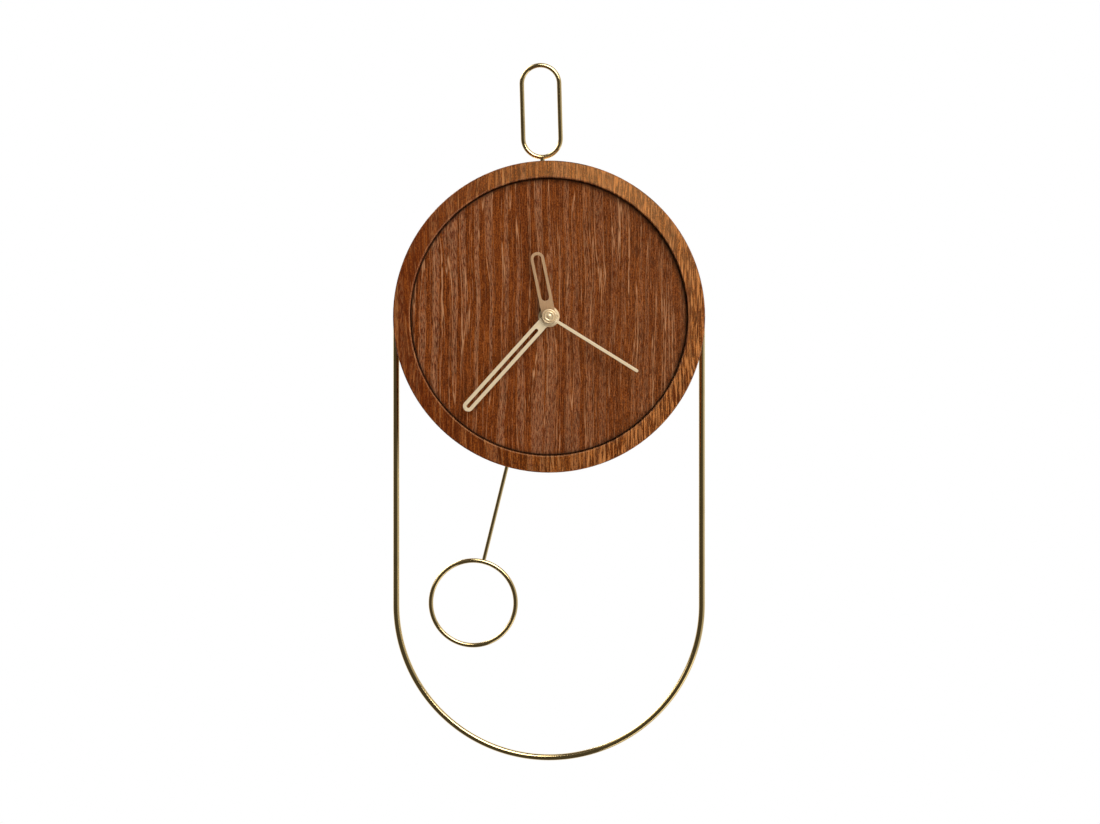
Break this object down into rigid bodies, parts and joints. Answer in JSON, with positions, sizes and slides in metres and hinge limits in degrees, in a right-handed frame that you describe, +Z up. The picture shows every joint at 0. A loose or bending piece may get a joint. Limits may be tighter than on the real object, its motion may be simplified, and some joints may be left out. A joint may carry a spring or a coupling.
{
  "type": "pendulum wall clock",
  "caption": "Round wood-veneer wall clock with slotted metal hands, a brass wire frame and hanging loop, a quartz movement with its gear train and a swinging ring pendulum.",
  "frame": {"origin": "where the dial axis meets the wall plane, at the back of the case", "axes": "+X to the right as seen from the front, +Y into the wall, +Z up; the dial faces -Y"},
  "size_m": [0.202, 0.0459, 0.452],
  "materials": {
    "veneer_wood": "open-pore stained walnut veneer, satin",
    "polished_brass": "polished, brass-plated wire",
    "champagne_metal": "brushed, champagne-gold anodised",
    "turned_brass": "turned, bright",
    "black_plastic": "moulded, fine texture",
    "white_plastic": "moulded acetal",
    "knob_plastic": "moulded, fluted",
    "black_rubber": "matte",
    "plain_steel": "bright zinc plated",
    "soft_iron": "stamped plate",
    "copper_wire": "enamelled winding",
    "magnet_grey": "sintered ferrite",
    "board_green": "solder mask",
    "battery_sleeve": "plain sleeved cell"
  },
  "bodies": {
    "case": {"case_ring": "veneer_wood", "dial_panel": "veneer_wood", "wire_frame": "polished_brass", "frame_tabs": "polished_brass", "tab_screws": "plain_steel", "hanging_loop": "polished_brass", "front_shell": "black_plastic", "rear_cover": "black_plastic", "dial_gasket": "black_rubber", "threaded_bush": "turned_brass", "nut_washer": "turned_brass", "fixing_nut": "turned_brass", "battery": "battery_sleeve", "battery_contacts": "plain_steel", "motor_stator": "soft_iron", "coil_core": "soft_iron", "motor_coil": "copper_wire", "circuit_board": "board_green", "quartz_crystal": "plain_steel", "pendulum_coil": "copper_wire", "pivot_pin": "plain_steel"},
    "minute_train": {"centre_wheel": "white_plastic", "minute_hand": "champagne_metal"},
    "hour_train": {"hour_wheel": "white_plastic", "hour_hand": "champagne_metal"},
    "second_train": {"second_wheel": "white_plastic", "second_hand": "champagne_metal", "hand_cap": "champagne_metal"},
    "third_train": {"third_wheel": "white_plastic"},
    "intermediate_train": {"intermediate_wheel": "white_plastic"},
    "rotor": {"rotor_pinion": "white_plastic", "rotor_magnet": "magnet_grey"},
    "motion_train": {"minute_wheel": "white_plastic"},
    "setting": {"setting_knob": "knob_plastic"},
    "pendulum": {"pendulum_hanger": "black_plastic", "drive_magnet": "magnet_grey", "pendulum_rod": "polished_brass", "pendulum_ring": "polished_brass"}
  },
  "joints": [
    {"name": "minute_hand_turn", "type": "hinge", "parent": "case", "child": "minute_train", "pos_m": [0, -0.0414, 0], "axis": [0, 1, 0], "continuous": true},
    {"name": "hour_hand_turn", "type": "hinge", "parent": "case", "child": "hour_train", "pos_m": [0, -0.0396, 0], "axis": [0, 1, 0], "continuous": true},
    {"name": "second_hand_turn", "type": "hinge", "parent": "case", "child": "second_train", "pos_m": [0, -0.0432, 0], "axis": [0, 1, 0], "continuous": true},
    {"name": "third_wheel_turn", "type": "hinge", "parent": "case", "child": "third_train", "pos_m": [-0.00846, -0.0225, -0.00308], "axis": [0, 1, 0], "continuous": true},
    {"name": "intermediate_wheel_turn", "type": "hinge", "parent": "case", "child": "intermediate_train", "pos_m": [0.00793, -0.0225, -0.00458], "axis": [0, 1, 0], "continuous": true},
    {"name": "rotor_turn", "type": "hinge", "parent": "case", "child": "rotor", "pos_m": [0.0132, -0.0225, -0.00649], "axis": [0, 1, 0], "continuous": true},
    {"name": "minute_wheel_turn", "type": "hinge", "parent": "case", "child": "motion_train", "pos_m": [0.00648, -0.0225, 0.00648], "axis": [0, 1, 0], "continuous": true},
    {"name": "setting_knob_turn", "type": "hinge", "parent": "case", "child": "setting", "pos_m": [0.01441, -0.0145, 0.01106], "axis": [0, 1, 0], "continuous": true},
    {"name": "pendulum_swing", "type": "hinge", "parent": "case", "child": "pendulum", "pos_m": [0, -0.008, 0.0142], "axis": [0, 1, 0], "range_deg": [-29.86, 2.14]}
  ],
  "couplings": [
    {"joint": "hour_hand_turn", "follows": "minute_hand_turn", "ratio": 0.083333},
    {"joint": "second_hand_turn", "follows": "minute_hand_turn", "ratio": 60},
    {"joint": "third_wheel_turn", "follows": "minute_hand_turn", "ratio": -8},
    {"joint": "intermediate_wheel_turn", "follows": "minute_hand_turn", "ratio": -300},
    {"joint": "rotor_turn", "follows": "minute_hand_turn", "ratio": 1800},
    {"joint": "minute_wheel_turn", "follows": "minute_hand_turn", "ratio": -0.33333},
    {"joint": "setting_knob_turn", "follows": "minute_hand_turn", "ratio": 1}
  ]
}
